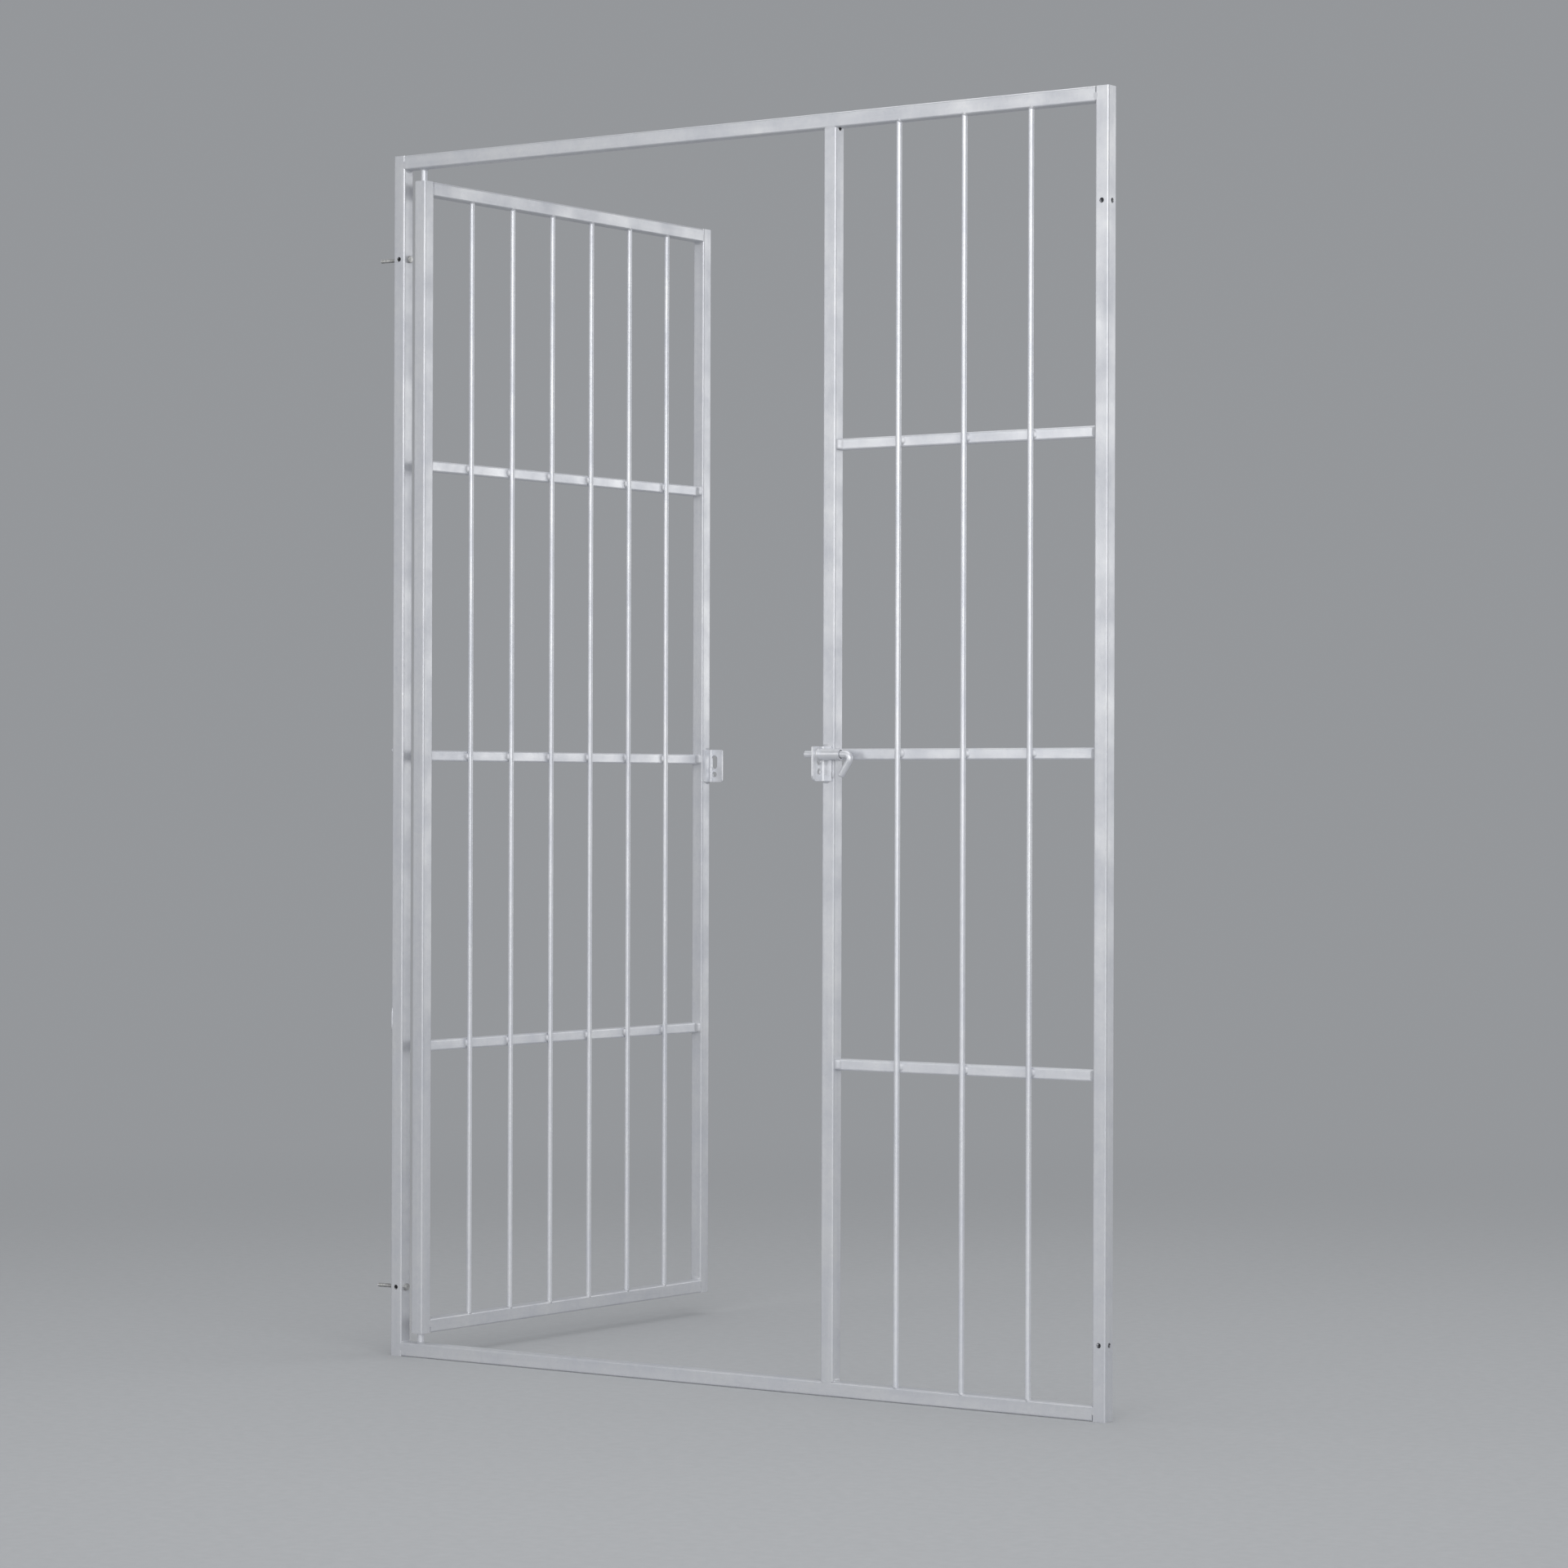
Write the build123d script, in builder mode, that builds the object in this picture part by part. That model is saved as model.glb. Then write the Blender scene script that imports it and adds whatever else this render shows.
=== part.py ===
from build123d import *
import os

# Dog kennel gate: a welded frame of square tube with a barred bay on the right and a barred door on
# the left. The door turns on two pivot pins and is drawn standing open, square to the frame, with the
# slide bolt shot.
# Millimetres. +X runs along the frame from the hinge post to the end post, +Y to the back, +Z up.
# The origin is on the pivot axis, on the underside of the bottom rail.

# Frame and door, overall
frame_height = 1801.0
frame_width = 1251.0
doorway_width = 764.0
hinge_gap = 19.0
latch_gap = 17.0
door_top_gap = 19.0
door_foot_gap = 15.0

# Square tube of the posts, stiles and outer rails
tube = 21.0
tube_wall = 1.5
tube_inner_corner = 1.0

# Square tube of the cross rails behind the rods
rail = 16.0
rail_wall = 1.5
rail_inner_corner = 1.0
rail_spacing = 435.0

# Rods
rod_diameter = 8.0
bay_rod_count = 3
door_rod_count = 6

# Pivot pins and the bushes that turn on them
pin_diameter = 10.0
pin_insert = 24.0
pin_clearance = 0.1
pin_end_clearance = 0.3
pin_chamfer = 1.0
bush_floor = 6.0

# Latch angles, one on the door and one on the latch post
plate_thickness = 3.0
plate_reach = 26.0
plate_flat_leg = 18.0
plate_root_radius = 4.0
plate_upper_corner = 2.0
post_plate_above_bolt = 11.0
post_plate_below_bolt = 37.5
post_plate_lower_corner = 8.0
door_plate_above_bolt = 15.5
door_plate_below_bolt = 36.5
door_plate_lower_corner = 3.0
slot_clearance = 0.5
slot_height = 22.0
slot_above_bolt = 6.5
padlock_hole_diameter = 9.0
padlock_hole_drop = 24.5

# Slide bolt, its hooked handle and its guide sleeve
bolt_diameter = 10.0
bolt_stand_off = 11.2
bolt_tip_out = 21.5
bolt_end_chamfer = 2.0
guide_clearance = 1.2
guide_wall = 1.8
guide_past_post = 19.0
handle_clear_of_guide = 8.0
handle_bend_radius = 6.5
handle_bend_angle = 124.0
handle_length = 25.0

# Fixing holes of the outer posts and the bolts that stay in the hinge post
fixing_hole_diameter = 7.0
fixing_top_drop = 155.0
fixing_foot_rise = 103.0
panel_bolt_diameter = 6.0
panel_bolt_thread_diameter = 5.9
panel_bolt_out = 32.0
panel_bolt_head_flats = 10.0
panel_bolt_head_height = 4.0
panel_bolt_chamfer = 0.8

# Drain notch at the head of the latch post
vent_radius = 4.0

# Places worked out from the sizes above
tube_half = tube / 2
rail_half = rail / 2
hinge_post_x = -(hinge_gap + tube)
latch_post_x = hinge_post_x + tube + doorway_width
end_post_x = hinge_post_x + frame_width - tube
door_width = doorway_width - hinge_gap - latch_gap
latch_stile_y = door_width - tube
door_foot = tube + door_foot_gap
door_head = frame_height - tube - door_top_gap
middle_z = frame_height / 2
rail_heights = {
    "upper": middle_z + rail_spacing,
    "middle": middle_z,
    "lower": middle_z - rail_spacing,
}
rod_radius = rod_diameter / 2
rod_forward = tube_half - rod_radius
rail_forward = rod_forward - rod_radius - rail_half
fixing_heights = {"upper": frame_height - fixing_top_drop, "lower": fixing_foot_rise}

os.makedirs("parts", exist_ok=True)


def save(piece, name):
    """Label a finished piece and write it under its own name."""
    piece.label = name
    export_step(piece, "parts/" + name + ".step")


def upright(x, y, z):
    """Plane that faces up at a point."""
    return Plane(origin=(x, y, z), x_dir=(1, 0, 0), z_dir=(0, 0, 1))


def facing_right(x, y, z):
    """Plane that faces +X at a point."""
    return Plane(origin=(x, y, z), x_dir=(0, 1, 0), z_dir=(1, 0, 0))


def facing_back(x, y, z):
    """Plane that faces +Y at a point."""
    return Plane(origin=(x, y, z), x_dir=(-1, 0, 0), z_dir=(0, 1, 0))


def square_tube(plane, side, wall, inner_corner, length):
    """Length of square tube with rounded corners and open ends."""
    inside = side - 2 * wall
    with BuildPart() as piece:
        with BuildSketch(plane):
            RectangleRounded(side, side, inner_corner + wall)
            RectangleRounded(inside, inside, inner_corner, mode=Mode.SUBTRACT)
        extrude(amount=length)
    return piece.part


def outer_tube(plane, length):
    return square_tube(plane, tube, tube_wall, tube_inner_corner, length)


def cross_rail(plane, length):
    return square_tube(plane, rail, rail_wall, rail_inner_corner, length)


def round_rod(plane, length):
    with BuildPart() as piece:
        with BuildSketch(plane):
            Circle(rod_radius)
        extrude(amount=length)
    return piece.part


def rod_places(start, clear_width, count):
    """Centres of rods that leave equal clear gaps between two uprights."""
    gap = (clear_width - count * rod_diameter) / (count + 1)
    return [start + (i + 1) * (gap + rod_diameter) - rod_radius for i in range(count)]


def outer_post(x):
    """Post of the full height, drilled through both ways near its head and foot for the next panels."""
    with BuildPart() as piece:
        add(outer_tube(upright(x, 0, 0), frame_height))
        for height in fixing_heights.values():
            for drill_plane in (facing_right(x, 0, height), facing_back(x, 0, height)):
                with BuildSketch(drill_plane):
                    Circle(fixing_hole_diameter / 2)
                extrude(amount=tube, both=True, mode=Mode.SUBTRACT)
    return piece.part


# Frame: outer posts, latch post and the rails between them
save(outer_post(hinge_post_x), "hinge_post")
save(outer_post(end_post_x), "end_post")

frame_inner_x = hinge_post_x + tube_half
frame_inner_width = frame_width - 2 * tube
save(outer_tube(facing_right(frame_inner_x, 0, frame_height - tube_half), frame_inner_width), "top_rail")
save(outer_tube(facing_right(frame_inner_x, 0, tube_half), frame_inner_width), "bottom_rail")

with BuildPart() as latch_post:
    add(outer_tube(upright(latch_post_x, 0, tube), frame_height - 2 * tube))
    with BuildSketch(facing_right(latch_post_x, 0, frame_height - tube)):
        Circle(vent_radius)
    extrude(amount=tube, mode=Mode.SUBTRACT)
save(latch_post.part, "latch_post")

# Barred bay: cross rails behind, rods flush with the front of the frame
bay_left = latch_post_x + tube_half
bay_clear = end_post_x - tube_half - bay_left
for level, height in rail_heights.items():
    save(cross_rail(facing_right(bay_left, -rail_forward, height), bay_clear), "bay_rail_" + level)
for number, x in enumerate(rod_places(bay_left, bay_clear, bay_rod_count), start=1):
    save(round_rod(upright(x, -rod_forward, tube), frame_height - 2 * tube), f"bay_rod_{number}")

# Door: drawn open, so its front faces +X and it runs to the back from the pivot axis
door_height = door_head - door_foot
save(outer_tube(upright(0, 0, door_foot), door_height), "hinge_stile")
save(outer_tube(upright(0, latch_stile_y, door_foot), door_height), "latch_stile")
door_clear = latch_stile_y - tube
save(outer_tube(facing_back(0, tube_half, door_head - tube_half), door_clear), "door_top_rail")
save(outer_tube(facing_back(0, tube_half, door_foot + tube_half), door_clear), "door_bottom_rail")
for level, height in rail_heights.items():
    save(cross_rail(facing_back(rail_forward, tube_half, height), door_clear), "door_rail_" + level)
for number, y in enumerate(rod_places(tube_half, door_clear, door_rod_count), start=1):
    rod_plane = upright(rod_forward, y, door_foot + tube)
    save(round_rod(rod_plane, door_height - 2 * tube), f"door_rod_{number}")


def hinge_pin(rail_face, inward):
    """Pin welded to a frame rail; inward is +1 for the foot pin and -1 for the head pin."""
    gap = door_foot_gap if inward > 0 else door_top_gap
    with BuildPart() as piece:
        with BuildSketch(Plane(origin=(0, 0, rail_face), z_dir=(0, 0, inward))):
            Circle(pin_diameter / 2)
        extrude(amount=gap + pin_insert)
        free_end = piece.edges().filter_by(GeomType.CIRCLE).sort_by(Axis.Z)[-1 if inward > 0 else 0]
        chamfer(free_end, pin_chamfer)
    return piece.part


def stile_bush(stile_end, inward):
    """Plug in the end of the hinge stile with a blind hole for the pin."""
    inside = tube - 2 * tube_wall
    hole_depth = pin_insert + pin_end_clearance
    with BuildPart() as piece:
        with BuildSketch(Plane(origin=(0, 0, stile_end), z_dir=(0, 0, inward))):
            RectangleRounded(inside, inside, tube_inner_corner)
        extrude(amount=hole_depth + bush_floor)
        with BuildSketch(Plane(origin=(0, 0, stile_end), z_dir=(0, 0, inward))):
            Circle(pin_diameter / 2 + pin_clearance)
        extrude(amount=hole_depth, mode=Mode.SUBTRACT)
    return piece.part


# Pivots at the foot and head of the hinge stile
save(hinge_pin(tube, 1), "hinge_pin_foot")
save(hinge_pin(frame_height - tube, -1), "hinge_pin_head")
save(stile_bush(door_foot, 1), "hinge_bush_foot")
save(stile_bush(door_head, -1), "hinge_bush_head")


def latch_angle(edge, along, forward, above, below, lower_corner):
    """Angle with its flat leg on a tube's front and a slotted leg that stands forward at the tube's edge.

    edge is the front corner of the tube at the bolt's height, along points from it over the tube's front
    face and forward points out of that face. above and below are the plate's reach from the bolt's axis.
    """
    foot_plane = Plane(origin=edge, x_dir=forward, z_dir=(0, 0, 1)).offset(-below)
    leg_plane = Plane(origin=edge, x_dir=forward, z_dir=along)
    side = foot_plane.y_dir.dot(Vector(along))
    up = leg_plane.y_dir.Z
    root = (plate_thickness, side * plate_thickness)
    with BuildPart() as piece:
        with BuildSketch(foot_plane) as section:
            with BuildLine():
                Polyline((0, 0), (plate_reach, 0), (plate_reach, root[1]), root,
                         (plate_thickness, side * plate_flat_leg), (0, side * plate_flat_leg), close=True)
            make_face()
            fillet(section.vertices().sort_by_distance(root)[0], plate_root_radius)
        extrude(amount=above + below)
        for place, radius in ((0, lower_corner), (-1, plate_upper_corner)):
            tip = piece.edges().filter_by(Axis(edge, along)).group_by(Axis(edge, forward))[-1]
            fillet(tip.sort_by(Axis.Z)[place], radius)
        with BuildSketch(leg_plane):
            with Locations((bolt_stand_off, up * (slot_above_bolt - slot_height / 2))):
                SlotOverall(slot_height, bolt_diameter + 2 * slot_clearance, rotation=90)
            with Locations((bolt_stand_off, -up * padlock_hole_drop)):
                Circle(padlock_hole_diameter / 2)
        extrude(amount=plate_thickness + plate_root_radius, mode=Mode.SUBTRACT)
    return piece.part


# Latch: an angle on the post, its counterpart on the door, and the hooked bolt in its guide sleeve
post_edge_x = latch_post_x - tube_half
bolt_y = -(tube_half + bolt_stand_off)
guide_left = post_edge_x + plate_thickness
guide_length = latch_post_x + tube_half + guide_past_post - guide_left
guide_bore = bolt_diameter / 2 + guide_clearance
guide_radius = guide_bore + guide_wall

post_edge = (post_edge_x, -tube_half, middle_z)
with BuildPart() as post_latch_angle:
    add(latch_angle(post_edge, (1, 0, 0), (0, -1, 0),
                    post_plate_above_bolt, post_plate_below_bolt, post_plate_lower_corner))
    with BuildSketch(facing_right(guide_left, bolt_y, middle_z)):
        Circle(guide_radius)
    extrude(amount=plate_flat_leg, mode=Mode.SUBTRACT)
save(post_latch_angle.part, "post_latch_angle")
door_edge = (tube_half, latch_stile_y + tube_half, middle_z)
door_latch_angle = latch_angle(door_edge, (0, -1, 0), (1, 0, 0),
                               door_plate_above_bolt, door_plate_below_bolt, door_plate_lower_corner)
save(door_latch_angle, "door_latch_angle")

with BuildPart() as bolt_guide:
    with BuildSketch(facing_right(guide_left, bolt_y, middle_z)):
        Circle(guide_radius)
        Circle(guide_bore, mode=Mode.SUBTRACT)
    extrude(amount=guide_length)
save(bolt_guide.part, "bolt_guide")

bolt_left = post_edge_x - bolt_tip_out
bolt_straight = guide_left + guide_length + handle_clear_of_guide - bolt_left
with BuildPart() as slide_bolt:
    with BuildLine(Plane(origin=(bolt_left, bolt_y, middle_z), x_dir=(1, 0, 0), z_dir=(0, -1, 0))) as axis:
        shank = Line((0, 0), (bolt_straight, 0))
        bend = JernArc(shank @ 1, shank % 1, handle_bend_radius, -handle_bend_angle)
        Line(bend @ 1, bend @ 1 + (bend % 1) * handle_length)
    with BuildSketch(facing_right(bolt_left, bolt_y, middle_z)):
        Circle(bolt_diameter / 2)
    sweep(path=axis.wires()[0])
    chamfer(slide_bolt.edges().sort_by(Axis.X)[0], bolt_end_chamfer)
    chamfer(slide_bolt.edges().filter_by(GeomType.CIRCLE).sort_by(Axis.Z)[0], bolt_end_chamfer)
save(slide_bolt.part, "slide_bolt")


def panel_bolt(height):
    """Hexagon bolt put through the hinge post from inside, its thread standing out for the next panel."""
    head_face = hinge_post_x + tube_half
    with BuildPart() as piece:
        with BuildSketch(facing_right(head_face, 0, height)):
            RegularPolygon(panel_bolt_head_flats / 2, 6, major_radius=False)
        extrude(amount=panel_bolt_head_height)
        with BuildSketch(facing_right(head_face, 0, height)):
            Circle(panel_bolt_diameter / 2)
        extrude(amount=-tube)
        with BuildSketch(facing_right(head_face - tube, 0, height)):
            Circle(panel_bolt_thread_diameter / 2)
        extrude(amount=-panel_bolt_out)
        chamfer(piece.edges().filter_by(GeomType.CIRCLE).sort_by(Axis.X)[0], panel_bolt_chamfer)
    return piece.part


for level, height in fixing_heights.items():
    save(panel_bolt(height), "panel_bolt_" + level)
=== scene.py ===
"""Looks of the dog kennel gate: galvanised finish, weld beads, zinc runs and threaded bolts."""
import math

import bmesh
import bpy
from mathutils import Matrix, Vector, noise


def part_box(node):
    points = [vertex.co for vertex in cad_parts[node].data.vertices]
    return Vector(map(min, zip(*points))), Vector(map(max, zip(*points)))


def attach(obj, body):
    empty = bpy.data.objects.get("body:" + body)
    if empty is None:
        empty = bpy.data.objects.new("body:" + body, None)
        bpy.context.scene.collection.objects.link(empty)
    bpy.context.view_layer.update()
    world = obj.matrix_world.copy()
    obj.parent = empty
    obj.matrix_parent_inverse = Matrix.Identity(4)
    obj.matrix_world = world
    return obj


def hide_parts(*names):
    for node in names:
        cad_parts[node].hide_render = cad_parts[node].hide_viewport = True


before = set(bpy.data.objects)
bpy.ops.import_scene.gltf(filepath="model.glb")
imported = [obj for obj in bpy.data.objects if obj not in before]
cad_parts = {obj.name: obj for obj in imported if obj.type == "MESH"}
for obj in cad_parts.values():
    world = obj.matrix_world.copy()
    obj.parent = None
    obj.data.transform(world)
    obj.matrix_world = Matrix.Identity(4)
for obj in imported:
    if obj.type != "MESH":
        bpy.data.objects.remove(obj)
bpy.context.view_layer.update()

MM = 0.001
X, Y, Z = Vector((1, 0, 0)), Vector((0, 1, 0)), Vector((0, 0, 1))
LEVELS = ("upper", "middle", "lower")
BAY_RODS = [f"bay_rod_{i}" for i in range(1, 4)]
DOOR_RODS = [f"door_rod_{i}" for i in range(1, 7)]
BAY_RAILS = [f"bay_rail_{level}" for level in LEVELS]
DOOR_RAILS = [f"door_rail_{level}" for level in LEVELS]

# Sizes that the welds follow, as in the part's source
TUBE_HALF = 10.5 * MM
TUBE_CORNER = 2.5 * MM
ROD_RADIUS = 4.0 * MM
PIN_RADIUS = 5.0 * MM
SLEEVE_RADIUS = 8.0 * MM

# Groove welds at butted tubes: how deep they start, how high they fill, and their flat, even shape
GROOVE_ROOT = TUBE_HALF - 2.6 * MM
GROOVE_RISE = 2.55 * MM
GROOVE_SHAPE = {"bulge": 0.54, "uneven": 0.04, "ends": 16.0}

# Ends of the cross rails' beads
BLUNT = 7.0

# Mesh of a bead: length of a ring, points across its face, least height at its ends, depth of its root
BEAD_RING, BEAD_POINTS, BEAD_LEAST, BEAD_ROOT = 0.4 * MM, 11, 0.06, 0.12
# Unevenness per metre along a bead and over its face
WAVES_ALONG, WAVES_OVER = 110, 170


# Materials

class Nodes:
    """Short way to add and link shader nodes of one material."""

    def __init__(self, name):
        self.material = bpy.data.materials.new(name)
        self.material.use_nodes = True
        self.tree = self.material.node_tree
        self.shader = self.tree.nodes["Principled BSDF"]

    def add(self, kind, **values):
        node = self.tree.nodes.new(kind)
        for key, value in values.items():
            if key in node.inputs:
                node.inputs[key].default_value = value
            else:
                setattr(node, key, value)
        return node

    def link(self, source, target):
        self.tree.links.new(source, target)

    def noise(self, coords, scale, detail=3.0, roughness=0.55):
        node = self.add("ShaderNodeTexNoise", Scale=scale, Detail=detail, Roughness=roughness)
        self.link(coords, node.inputs["Vector"])
        return node.outputs["Fac"]

    def stretched(self, coords, scale):
        node = self.add("ShaderNodeMapping", Scale=scale)
        self.link(coords, node.inputs["Vector"])
        return node.outputs["Vector"]

    def span(self, value, low, high, to_low, to_high):
        node = self.add("ShaderNodeMapRange")
        ends = (("From Min", low), ("From Max", high), ("To Min", to_low), ("To Max", to_high))
        for key, number in ends:
            node.inputs[key].default_value = number
        self.link(value, node.inputs["Value"])
        return node.outputs["Result"]

    def ramp(self, value, *stops):
        node = self.add("ShaderNodeValToRGB")
        elements = node.color_ramp.elements
        while len(elements) < len(stops):
            elements.new(0.5)
        for element, (position, colour) in zip(elements, stops):
            element.position = position
            element.color = (*colour, 1)
        self.link(value, node.inputs["Fac"])
        return node.outputs["Color"]

    def fill(self, socket, value):
        """Link a socket to another one, or set it to a plain value."""
        if isinstance(value, bpy.types.NodeSocket):
            self.link(value, socket)
        else:
            socket.default_value = value

    def mix(self, first, second, factor, blend="MIX"):
        node = self.add("ShaderNodeMix", data_type="RGBA", blend_type=blend)
        for number, value in ((6, first), (7, second), (0, factor)):
            self.fill(node.inputs[number], value)
        return node.outputs[2]

    def math(self, operation, first, second):
        node = self.add("ShaderNodeMath", operation=operation)
        for socket, value in zip(node.inputs, (first, second)):
            self.fill(socket, value)
        return node.outputs[0]

    def bump(self, height, distance, strength=1.0):
        node = self.add("ShaderNodeBump", Distance=distance, Strength=strength)
        self.link(height, node.inputs["Height"])
        self.link(node.outputs["Normal"], self.shader.inputs["Normal"])


WHITE = (1.0, 1.0, 1.0)
ZINC_CLOUDS = ((0.30, (0.640, 0.650, 0.685)), (0.52, (0.690, 0.697, 0.722)), (0.72, (0.725, 0.730, 0.745)))
STREAK_ACROSS, STREAK_ALONG = 70.0, 3.0
# The rods' lift is partly their brighter zinc and partly a painted sheen for the bright sky that the rods
# mirror
RAIL_LIFT, ROD_ZINC_AND_PAINTED_SHEEN, PLATE_LIFT = 1.12, 1.18, 1.12
WELD_DULL = 0.12
LONG_NODE = 0.2


def galvanised(name, along, dull=0.0, lift=1.0):
    """Hot-dip zinc: lilac-grey clouds, faint streaks along the tube, fine crystals and a satin sheen.

    along is the tube's axis, 0 to 2, or None where there is none; dull darkens and roughens the zinc, lift
    brightens it.
    """
    m = Nodes(name)
    coords = m.add("ShaderNodeTexCoord").outputs["Object"]
    clouds = m.noise(coords, 16.0, detail=4.0)
    colour = m.ramp(clouds, *((place, [lift * part for part in shade]) for place, shade in ZINC_CLOUDS))
    streak_scale = [STREAK_ACROSS] * 3
    if along is not None:
        streak_scale[along] = STREAK_ALONG
    streaks = m.noise(m.stretched(coords, streak_scale), 1.0, detail=5.0)
    streak_tint = m.ramp(streaks, (0.32, (0.88, 0.885, 0.90)), (0.62, WHITE))
    colour = m.mix(colour, streak_tint, 0.6, "MULTIPLY")
    crystals = m.add("ShaderNodeTexVoronoi", Scale=170.0)
    m.link(coords, crystals.inputs["Vector"])
    grains = m.ramp(crystals.outputs["Color"], (0.0, (0.955, 0.96, 0.97)), (1.0, (1.02, 1.02, 1.015)))
    colour = m.mix(colour, grains, 0.8, "MULTIPLY")
    specks = m.noise(coords, 420.0, detail=2.0)
    speck_tint = m.ramp(specks, (0.24, (0.72, 0.72, 0.74)), (0.33, WHITE))
    colour = m.mix(colour, speck_tint, 0.45, "MULTIPLY")
    if dull:
        colour = m.mix(colour, (0.45, 0.455, 0.48, 1), dull)
    m.link(colour, m.shader.inputs["Base Color"])
    m.shader.inputs["Metallic"].default_value = 0.55
    m.link(m.span(clouds, 0.3, 0.7, 0.46 + dull, 0.33 + dull), m.shader.inputs["Roughness"])
    fine = m.noise(coords, 900.0, detail=2.0)
    relief = m.math("ADD", m.math("MULTIPLY", clouds, 3.0), m.math("MULTIPLY", fine, 0.12))
    m.bump(relief, 0.0006, 0.35)
    return m.material


def zinc_plated(name):
    """Bright plating of small bolts, gone slightly dull in patches."""
    m = Nodes(name)
    coords = m.add("ShaderNodeTexCoord").outputs["Object"]
    patches = m.noise(coords, 260.0, detail=3.0)
    tint = m.ramp(patches, (0.35, (0.40, 0.40, 0.39)), (0.65, (0.60, 0.60, 0.595)))
    m.link(tint, m.shader.inputs["Base Color"])
    m.link(m.span(patches, 0.3, 0.7, 0.42, 0.28), m.shader.inputs["Roughness"])
    m.shader.inputs["Metallic"].default_value = 0.9
    m.bump(m.noise(coords, 1500.0, detail=2.0), 0.00005, 0.5)
    return m.material


GALVANISED = [galvanised(f"galvanised_{axis}", number) for number, axis in enumerate("xyz")]
GALVANISED_RAIL = [galvanised(f"galvanised_rail_{axis}", number, lift=RAIL_LIFT)
                   for number, axis in enumerate("xy")]
# Rod finish lifted brighter: partly brighter zinc, partly a painted sheen for the bright sky the rods mirror
GALVANISED_ROD = galvanised("galvanised_rod", 2, lift=ROD_ZINC_AND_PAINTED_SHEEN)
GALVANISED_CAST = galvanised("galvanised_plate", None, lift=PLATE_LIFT)
GALVANISED_WELD = galvanised("galvanised_weld", None, dull=WELD_DULL)
ZINC_PLATED = zinc_plated("zinc_plated")

for node_name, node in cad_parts.items():
    low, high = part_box(node_name)
    size = high - low
    longest = max(range(3), key=lambda i: size[i])
    if node_name in BAY_RAILS + DOOR_RAILS:
        finish = GALVANISED_RAIL[longest]
    elif node_name in BAY_RODS + DOOR_RODS:
        finish = GALVANISED_ROD
    else:
        finish = GALVANISED[longest] if size[longest] > LONG_NODE else GALVANISED_CAST
    node.data.materials.clear()
    node.data.materials.append(finish)


# Shapes that the pieces are made of

def middle(node_name):
    low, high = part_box(node_name)
    return (low + high) / 2


def piece_from(bm, name, material, body, sharp=50):
    """Finish a bmesh as a piece that rides on a body, smooth but for edges over sharp degrees."""
    bmesh.ops.recalc_face_normals(bm, faces=bm.faces)
    mesh = bpy.data.meshes.new(name)
    bm.to_mesh(mesh)
    bm.free()
    mesh.shade_smooth()
    mesh.set_sharp_from_angle(angle=math.radians(sharp))
    mesh.materials.append(material)
    piece = bpy.data.objects.new(name, mesh)
    bpy.context.scene.collection.objects.link(piece)
    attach(piece, body)
    return piece


def skin(bm, first, second):
    """Faces between two closed loops with equally many points."""
    for j in range(len(first)):
        k = (j + 1) % len(first)
        bm.faces.new((first[j], first[k], second[k], second[j]))


def bead(bm, start, end, leg_a, leg_b, seed, bulge=0.18, uneven=0.10, ends=3.0):
    """Fillet bead in a corner: from start to end, its toes at leg_a and leg_b from the corner line.

    bulge is 0 for a hollow bead that runs out into both faces and 0.5 for a flat one; a high value of ends
    makes its ends blunt.
    """
    run = end - start
    rings = max(16, int(run.length / BEAD_RING))
    root = -BEAD_ROOT * (leg_a + leg_b)
    crown = bulge * (leg_a + leg_b)
    phase = 7.3 * seed
    loops = []
    for i in range(rings + 1):
        t = i / rings
        place = start + run * t
        taper = max(BEAD_LEAST, (1 - abs(2 * t - 1) ** ends) ** 0.6)
        wobble = 1 + uneven * noise.noise(Vector((t * run.length * WAVES_ALONG, phase, 0)))
        loop = []
        for j in range(BEAD_POINTS):
            s = j / (BEAD_POINTS - 1)
            offset = leg_a * (1 - s) ** 2 + crown * 2 * s * (1 - s) + leg_b * s ** 2
            spot = (place + offset) * WAVES_OVER + Vector((phase, 0, 0))
            swell = 1 + 0.4 * uneven * noise.noise(spot)
            loop.append(bm.verts.new(place + offset * taper * wobble * swell))
        loop.append(bm.verts.new(place + root))
        loops.append(loop)
    for first, second in zip(loops, loops[1:]):
        skin(bm, first, second)
    bm.faces.new(loops[0])
    bm.faces.new(loops[-1])


def ring_bead(bm, centre, axis, radius, leg, seed):
    """Fillet bead all round a bar that stands on a face, axis pointing away from the face."""
    start = axis.orthogonal().normalized()
    turns, across = 48, 7
    sunk = 0.3 * MM
    loops = []
    for i in range(turns):
        angle = 2 * math.pi * i / turns
        out = Matrix.Rotation(angle, 3, axis) @ start
        wobble = 1 + 0.2 * noise.noise(Vector((2 * math.cos(angle), 2 * math.sin(angle), 5.1 * seed)))
        loop = []
        for j in range(across):
            t = j / (across - 1)
            crown = 0.4 * t * (1 - t)
            offset = (out * ((1 - t) ** 2 + crown) + axis * (t ** 2 + crown)) * leg * wobble
            loop.append(bm.verts.new(centre + out * radius + offset))
        loop.append(bm.verts.new(centre + out * (radius - sunk) - axis * sunk))
        loops.append(loop)
    for i, first in enumerate(loops):
        skin(bm, first, loops[(i + 1) % turns])


def lump(bm, centre, radius_x, radius_y, radius_z, seed, roughness=0.18):
    """Uneven round blob, part of it inside the steel that carries it."""
    radii = Vector((radius_x, radius_y, radius_z))
    ball = bmesh.ops.create_icosphere(bm, subdivisions=3, radius=1.0)
    for vert in ball["verts"]:
        swell = 1 + roughness * noise.noise(vert.co * 1.7 + Vector((11.0 * seed, 3.0 * seed, 0)))
        vert.co = centre + vert.co * radii * swell


# Weld beads

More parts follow.
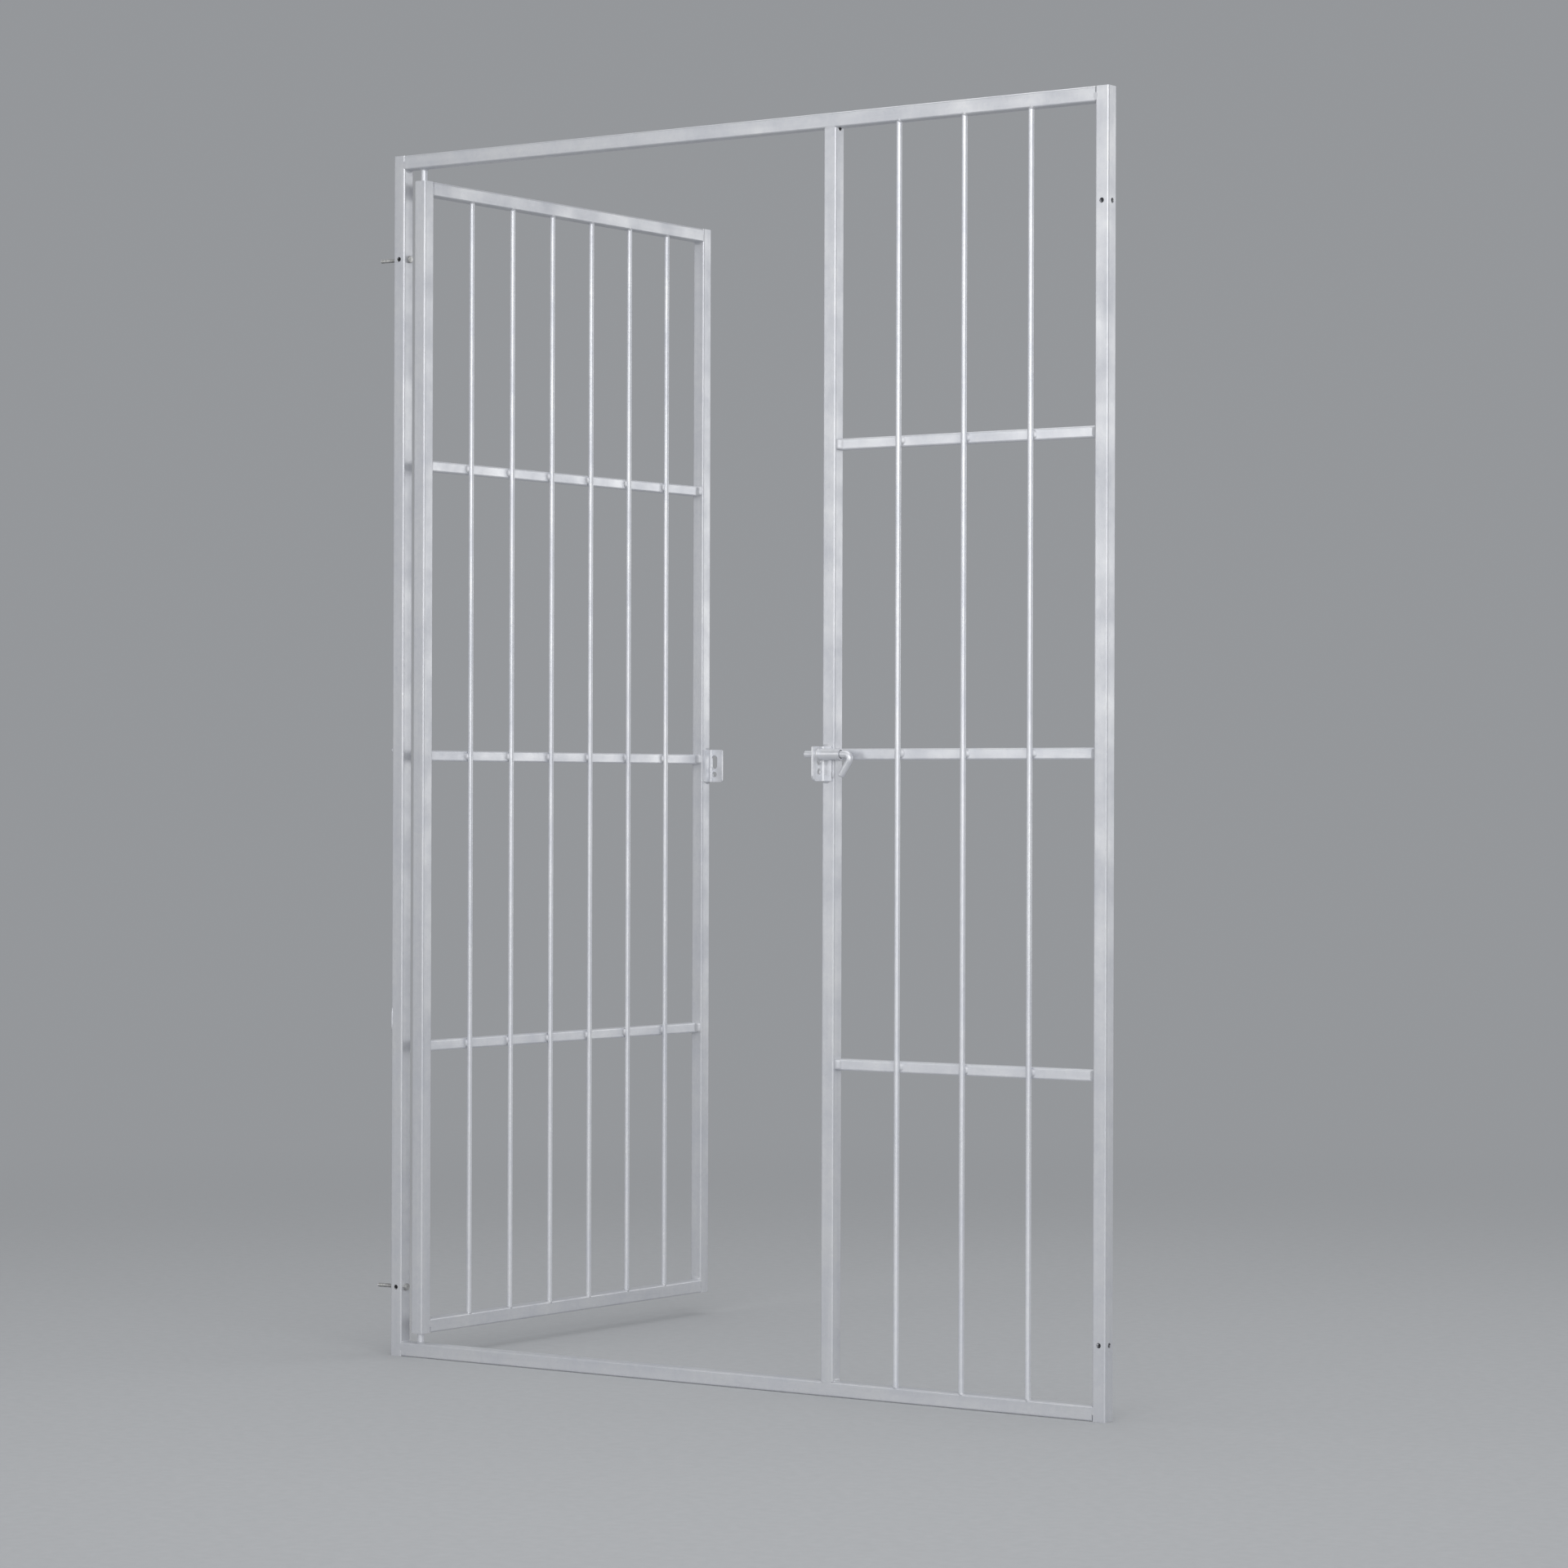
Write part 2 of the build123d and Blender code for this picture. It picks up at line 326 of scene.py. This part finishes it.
def rod_welds(bm, rods, rails, side, front, seed):
    """Weld webs beside each rod where it crosses a rail, and blobs at its two ends.

    side points along the rail to the welded side of the rod, front out of the panel's face.
    """
    for rod in rods:
        axis = middle(rod)
        low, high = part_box(rod)
        for rail in rails:
            height = middle(rail).z
            face = axis - front * ROD_RADIUS
            seed += 1
            stray = noise.noise(Vector((seed * 1.7, 0.3, 0)))
            corner = Vector((face.x, face.y, height + 1.6 * stray * MM)) + side * 2.0 * MM
            reach = Z * (5.6 + 1.2 * stray) * MM
            toe_rail = side * (6.4 + 1.5 * stray) * MM
            toe_rod = side * 1.7 * MM + front * 4.6 * MM
            bead(bm, corner - reach, corner + reach, toe_rail, toe_rod, seed, 0.24)
        for end, inward in ((low.z, 1), (high.z, -1)):
            seed += 1
            shift = front * 0.8 * MM - Z * inward * 0.8 * MM + side * 1.2 * MM
            lump(bm, Vector((axis.x, axis.y, end)) + shift, 3.9 * MM, 3.9 * MM, 3.4 * MM, seed)


def rail_welds(bm, rail, ends, along, front, seed):
    """Beads at both ends of a cross rail: in the corner in front of it, and over its open end at the back."""
    low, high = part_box(rail)
    half = (high.z - low.z) / 2
    rise = Z * (half - 0.4 * MM)
    for end, inward in ends:
        seed += 2
        axis = middle(rail)
        at_end = axis + along * (end - axis.dot(along))
        corner = at_end + front * half
        toe_rail, toe_upright = along * inward * 8.5 * MM, front * 6.6 * MM
        bead(bm, corner - rise, corner + rise, toe_rail, toe_upright, seed, ends=BLUNT)
        corner = at_end - front * (at_end.dot(front) + TUBE_HALF - 1.0 * MM)
        toe_upright = -along * inward * 5.0 * MM - front * 1.2 * MM
        toe_rail = along * inward * 0.3 * MM - front * 3.7 * MM
        bead(bm, corner - rise, corner + rise, toe_upright, toe_rail, seed + 1, ends=BLUNT)


def corner_welds(bm, rail, ends, along, front, inner, seed):
    """Welds where an outer rail butts flush between two uprights.

    inner is the direction from the rail to the inside of the frame. The front groove is filled from a little
    past its middle to that side, so the upright's rounded corner still shows as a notch at the outer side.
    """
    for end, inward in ends:
        seed += 4
        axis = middle(rail)
        at_end = axis + along * (end - axis.dot(along))
        for normal, outward in ((front, 2.5), (-front, 7.5)):
            root = at_end + normal * GROOVE_ROOT
            near, far = root - inner * outward * MM, root + inner * 9.4 * MM
            toe_upright = -along * inward * 3.4 * MM + normal * GROOVE_RISE
            toe_rail = along * inward * 2.6 * MM + normal * GROOVE_RISE
            bead(bm, near, far, toe_upright, toe_rail, seed, **GROOVE_SHAPE)
            seed += 1
        corner = at_end + inner * TUBE_HALF
        reach = front * (TUBE_HALF - TUBE_CORNER)
        bead(bm, corner - reach, corner + reach, along * inward * 4.2 * MM, inner * 4.2 * MM, seed)


def latch_post_welds(bm):
    """Beads and groove fills where the latch post meets the top and the bottom rail."""
    low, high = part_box("latch_post")
    post_x = middle("latch_post").x
    reach = Y * (TUBE_HALF - TUBE_CORNER)
    for end, inner, sides in ((high.z, -Z, (-1,)), (low.z, Z, (-1, 1))):
        joint = Vector((post_x, 0, end))
        for side in sides:
            corner = joint + X * side * TUBE_HALF
            toe_rail, toe_post = X * side * 4.4 * MM, inner * 4.0 * MM
            bead(bm, corner - reach, corner + reach, toe_rail, toe_post, 540 + side)
        for normal in (-Y, Y):
            root = joint + normal * GROOVE_ROOT
            near, far = root - X * 9.2 * MM, root + X * 8.0 * MM
            toe_post = normal * GROOVE_RISE + inner * 2.4 * MM
            toe_rail = normal * GROOVE_RISE - inner * 3.2 * MM
            bead(bm, near, far, toe_post, toe_rail, 550 + end, **GROOVE_SHAPE)


def pin_welds(bm):
    """Ring beads where the hinge pins stand on the frame's rails."""
    foot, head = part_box("hinge_pin_foot")[0].z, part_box("hinge_pin_head")[1].z
    ring_bead(bm, Vector((0, 0, foot)), Z, PIN_RADIUS, 3.0 * MM, 561)
    ring_bead(bm, Vector((0, 0, head)), -Z, PIN_RADIUS, 3.0 * MM, 562)


frame_rods = bmesh.new()
rod_welds(frame_rods, BAY_RODS, BAY_RAILS, X, -Y, 100)
piece_from(frame_rods, "bay_rod_welds", GALVANISED_WELD, "frame")

door_rods = bmesh.new()
rod_welds(door_rods, DOOR_RODS, DOOR_RAILS, -Y, X, 200)
piece_from(door_rods, "door_rod_welds", GALVANISED_WELD, "door")

frame_rails = bmesh.new()
bay_ends = ((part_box("latch_post")[1].x, 1), (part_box("end_post")[0].x, -1))
for number, rail in enumerate(BAY_RAILS):
    rail_welds(frame_rails, rail, bay_ends, X, -Y, 300 + 10 * number)
piece_from(frame_rails, "bay_rail_welds", GALVANISED_WELD, "frame")

door_rails = bmesh.new()
door_ends = ((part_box("hinge_stile")[1].y, 1), (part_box("latch_stile")[0].y, -1))
for number, rail in enumerate(DOOR_RAILS):
    rail_welds(door_rails, rail, door_ends, Y, X, 400 + 10 * number)
piece_from(door_rails, "door_rail_welds", GALVANISED_WELD, "door")

frame_corners = bmesh.new()
frame_ends = ((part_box("hinge_post")[1].x, 1), (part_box("end_post")[0].x, -1))
corner_welds(frame_corners, "top_rail", frame_ends, X, -Y, -Z, 500)
corner_welds(frame_corners, "bottom_rail", frame_ends, X, -Y, Z, 520)
latch_post_welds(frame_corners)
pin_welds(frame_corners)
piece_from(frame_corners, "frame_corner_welds", GALVANISED_WELD, "frame")

door_corners = bmesh.new()
corner_welds(door_corners, "door_top_rail", door_ends, Y, X, -Z, 600)
corner_welds(door_corners, "door_bottom_rail", door_ends, Y, X, Z, 620)
piece_from(door_corners, "door_corner_welds", GALVANISED_WELD, "door")

# Latch welds: beads round the angles' flat legs, a ring and two seams at the guide sleeve
PLATE_LEG, PLATE_RISE = 3.6 * MM, 3.4 * MM

post_latch = bmesh.new()
angle_low, angle_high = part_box("post_latch_angle")
edge = Vector((angle_high.x, -TUBE_HALF, angle_low.z))
for foot, head in ((4.0, 14.0), (33.0, 45.0)):
    stitch_foot, stitch_head = edge + Z * foot * MM, edge + Z * head * MM
    bead(post_latch, stitch_foot, stitch_head, X * 2.4 * MM, -Y * PLATE_RISE, 700 + head)
for height, rise in ((angle_high.z, 1), (angle_low.z, -1)):
    line = Vector((angle_low.x, -TUBE_HALF, height))
    near, far = line + X * 1.5 * MM, line + X * 13.5 * MM
    bead(post_latch, near, far, Z * rise * PLATE_LEG, -Y * PLATE_RISE, 720 + rise)
sleeve = middle("bolt_guide")
sleeve_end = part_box("bolt_guide")[0].x
ring_bead(post_latch, Vector((sleeve_end, sleeve.y, sleeve.z)), X, SLEEVE_RADIUS, 2.4 * MM, 731)
for rise in (1, -1):
    seam = Vector((sleeve_end, sleeve.y + SLEEVE_RADIUS, sleeve.z + rise * 1.5 * MM))
    toe_angle, toe_sleeve = Z * rise * 6.2 * MM, Z * rise * 5.4 * MM - Y * 3.4 * MM
    bead(post_latch, seam + X * 1.0 * MM, seam + X * 13.0 * MM, toe_angle, toe_sleeve, 740 + rise, 0.5)
piece_from(post_latch, "post_latch_welds", GALVANISED_WELD, "frame")

door_latch = bmesh.new()
angle_low, angle_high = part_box("door_latch_angle")
for height, rise in ((angle_high.z, 1), (angle_low.z, -1)):
    line = Vector((TUBE_HALF, angle_high.y, height))
    near, far = line - Y * 13.0 * MM, line - Y * 1.5 * MM
    bead(door_latch, near, far, Z * rise * PLATE_LEG, X * PLATE_RISE, 780 + rise)
piece_from(door_latch, "door_latch_welds", GALVANISED_WELD, "door")

# Zinc left by the dipping: a spur and a run on the hinge post's left edge
zinc_runs = bmesh.new()
post_edge = Vector((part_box("hinge_post")[0].x, -TUBE_HALF, 0))
lump(zinc_runs, post_edge + Vector((0.2, 2.4, 909.0)) * MM, 3.2 * MM, 1.6 * MM, 2.4 * MM, 801)
lump(zinc_runs, post_edge + Vector((1.4, 1.0, 506.0)) * MM, 1.5 * MM, 1.9 * MM, 17.0 * MM, 802)
piece_from(zinc_runs, "zinc_runs", GALVANISED_CAST, "frame")

# Panel bolts: hexagon heads inside the doorway, threads standing out of the hinge post
HEAD_HALF, SHANK_RADIUS = 5.0 * MM, 3.0 * MM
THREAD_CREST, THREAD_ROOT, THREAD_PITCH = 2.95 * MM, 2.42 * MM, 1.0 * MM
THREAD_STEPS, BOLT_SEGMENTS = 10, 36


def hexagon(angle):
    """Distance from a head's middle to its side in one direction."""
    return HEAD_HALF / math.cos((angle + math.pi / 6) % (math.pi / 3) - math.pi / 6)


def shank(angle):
    return SHANK_RADIUS


def thread_radius(x, angle, tip_x):
    """Radius of a right-hand thread, drawn in over its last millimetre."""
    phase = (x / THREAD_PITCH + angle / (2 * math.pi)) % 1.0
    flank = min(1.0, max(0.0, (abs(phase - 0.5) * 2 - 0.1) / 0.75))
    into_end = min(1.0, (x - tip_x) / (0.9 * MM))
    return (THREAD_ROOT + (THREAD_CREST - THREAD_ROOT) * flank) * (0.82 + 0.18 * into_end)


def threaded_bolt(node_name):
    """Rings along -X in place of a plain bolt: chamfered hexagon head, plain shank, right-hand thread."""
    low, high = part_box(node_name)
    centre = (low + high) / 2
    post_low, post_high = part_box("hinge_post")
    rings = [(high.x, lambda a: min(hexagon(a), HEAD_HALF) * 0.93),
             (high.x - 0.5 * MM, lambda a: min(hexagon(a), HEAD_HALF * 1.09)),
             (high.x - 0.8 * MM, hexagon),
             (post_high.x + 0.2 * MM, hexagon),
             (post_high.x, lambda a: hexagon(a) * 0.96),
             (post_high.x, shank),
             (post_low.x, shank)]
    for i in range(1, round((post_low.x - low.x) / THREAD_PITCH * THREAD_STEPS) + 1):
        x = post_low.x - i * THREAD_PITCH / THREAD_STEPS
        rings.append((x, lambda a, x=x: thread_radius(x, a, low.x)))
    bm = bmesh.new()
    loops = []
    for x, radius in rings:
        loop = []
        for j in range(BOLT_SEGMENTS):
            angle = 2 * math.pi * j / BOLT_SEGMENTS
            out = Y * math.sin(angle) + Z * math.cos(angle)
            loop.append(bm.verts.new(Vector((x, centre.y, centre.z)) + out * radius(angle)))
        loops.append(loop)
    for first, second in zip(loops, loops[1:]):
        skin(bm, first, second)
    bm.faces.new(loops[0])
    bm.faces.new(loops[-1])
    piece = piece_from(bm, node_name + "_threaded", ZINC_PLATED, "frame", sharp=25)
    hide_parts(node_name)


for level in ("upper", "lower"):
    threaded_bolt(f"panel_bolt_{level}")


# Floor, light and camera

BACKDROP = (0.30, 0.31, 0.325)
FLOOR_GRAIN = ((0.3, (0.43, 0.44, 0.455)), (0.7, (0.455, 0.465, 0.48)))
FADE_START, FADE_END = 1.1, 4.6
FILL_COLOUR, FILL_STRENGTH = (0.97, 0.985, 1.0), 0.48

# Name, place, aim, width, height and power of each softbox
SOFTBOXES = (
    ("front", (-1.9, -5.6, 1.8), (0.9, 0.2, 0.9), 2.2, 2.8, 34.0),
    ("key", (3.8, -4.2, 2.6), (0.6, 0.2, 0.9), 6.4, 3.8, 172.0),
    ("side", (3.5, 5.0, 1.6), (0.6, 0.2, 0.9), 2.4, 2.4, 28.0),
    ("overhead", (0.6, 0.2, 4.4), (0.6, 0.2, 0.9), 3.4, 2.6, 45.0),
)

# Camera fitted to the gate's corners in the photograph, for a square image; angles in radians
CAMERA_PLACE = (4.38309, -5.29087, 0.84447)
CAMERA_YAW, CAMERA_PITCH, CAMERA_ROLL = 0.61291, 0.00222, 0.00285
CAMERA_LENS = 104.952


def pale_floor():
    """Round floor that fades into the backdrop's colour far from the object."""
    bpy.ops.mesh.primitive_circle_add(vertices=96, radius=14.0, fill_type="NGON", location=(0.6, 0.3, 0))
    floor = bpy.context.object
    floor.name = "floor"
    m = Nodes("floor_pale")
    coords = m.add("ShaderNodeTexCoord").outputs["Object"]
    grain = m.noise(coords, 60.0, detail=4.0)
    m.link(m.ramp(grain, *FLOOR_GRAIN), m.shader.inputs["Base Color"])
    m.shader.inputs["Roughness"].default_value = 0.8
    m.shader.inputs["Specular IOR Level"].default_value = 0.2
    distance = m.add("ShaderNodeVectorMath", operation="LENGTH")
    m.link(coords, distance.inputs[0])
    fade = m.add("ShaderNodeMapRange", interpolation_type="SMOOTHSTEP")
    for key, number in (("From Min", FADE_START), ("From Max", FADE_END)):
        fade.inputs[key].default_value = number
    m.link(distance.outputs["Value"], fade.inputs["Value"])
    rays = m.add("ShaderNodeLightPath")
    seen = m.math("MAXIMUM", rays.outputs["Is Camera Ray"], rays.outputs["Is Glossy Ray"])
    glow = m.add("ShaderNodeEmission", Color=(*BACKDROP, 1), Strength=1.0)
    blend = m.add("ShaderNodeMixShader")
    m.link(m.math("MULTIPLY", fade.outputs["Result"], seen), blend.inputs[0])
    m.link(m.shader.outputs[0], blend.inputs[1])
    m.link(glow.outputs[0], blend.inputs[2])
    m.link(blend.outputs[0], m.tree.nodes["Material Output"].inputs["Surface"])
    floor.data.materials.append(m.material)


def studio_world():
    """Even fill light; camera, glossy and transmission rays see the pale backdrop."""
    world = bpy.data.worlds.new("studio")
    world.use_nodes = True
    bpy.context.scene.world = world
    tree = world.node_tree
    fill = tree.nodes["Background"]
    fill.inputs["Color"].default_value = (*FILL_COLOUR, 1)
    fill.inputs["Strength"].default_value = FILL_STRENGTH
    seen = tree.nodes.new("ShaderNodeBackground")
    seen.inputs["Color"].default_value = (*BACKDROP, 1)
    rays = tree.nodes.new("ShaderNodeLightPath")
    either = rays.outputs["Is Camera Ray"]
    for name in ("Is Glossy Ray", "Is Transmission Ray"):
        join = tree.nodes.new("ShaderNodeMath")
        join.operation = "MAXIMUM"
        tree.links.new(either, join.inputs[0])
        tree.links.new(rays.outputs[name], join.inputs[1])
        either = join.outputs[0]
    mix = tree.nodes.new("ShaderNodeMixShader")
    tree.links.new(either, mix.inputs[0])
    tree.links.new(fill.outputs[0], mix.inputs[1])
    tree.links.new(seen.outputs[0], mix.inputs[2])
    tree.links.new(mix.outputs[0], tree.nodes["World Output"].inputs["Surface"])


def softbox(name, location, target, width, height, power):
    data = bpy.data.lights.new(name, "AREA")
    data.shape = "RECTANGLE"
    data.size = width
    data.size_y = height
    data.energy = power
    lamp = bpy.data.objects.new(name, data)
    lamp.location = location
    lamp.rotation_euler = (Vector(target) - Vector(location)).to_track_quat("-Z", "Y").to_euler()
    lamp.visible_camera = False
    bpy.context.scene.collection.objects.link(lamp)


def photo_camera():
    """Camera at the photograph's place, turned by its yaw, pitch and roll."""
    right = Vector((math.cos(CAMERA_YAW), math.sin(CAMERA_YAW), 0))
    ahead = Vector((-math.sin(CAMERA_YAW), math.cos(CAMERA_YAW), 0))
    view = ahead * math.cos(CAMERA_PITCH) + Z * math.sin(CAMERA_PITCH)
    top = Z * math.cos(CAMERA_PITCH) - ahead * math.sin(CAMERA_PITCH)
    side = right * math.cos(CAMERA_ROLL) + top * math.sin(CAMERA_ROLL)
    top = top * math.cos(CAMERA_ROLL) - right * math.sin(CAMERA_ROLL)
    turn = Matrix((side, top, -view)).transposed().to_4x4()
    data = bpy.data.cameras.new("camera")
    data.sensor_width = 36.0
    data.lens = CAMERA_LENS
    data.clip_end = 100.0
    camera = bpy.data.objects.new("camera", data)
    camera.matrix_world = Matrix.Translation(CAMERA_PLACE) @ turn
    bpy.context.scene.collection.objects.link(camera)
    bpy.context.scene.camera = camera


pale_floor()
studio_world()
for row in SOFTBOXES:
    softbox(*row)
photo_camera()
bpy.context.scene.view_settings.view_transform = "Standard"
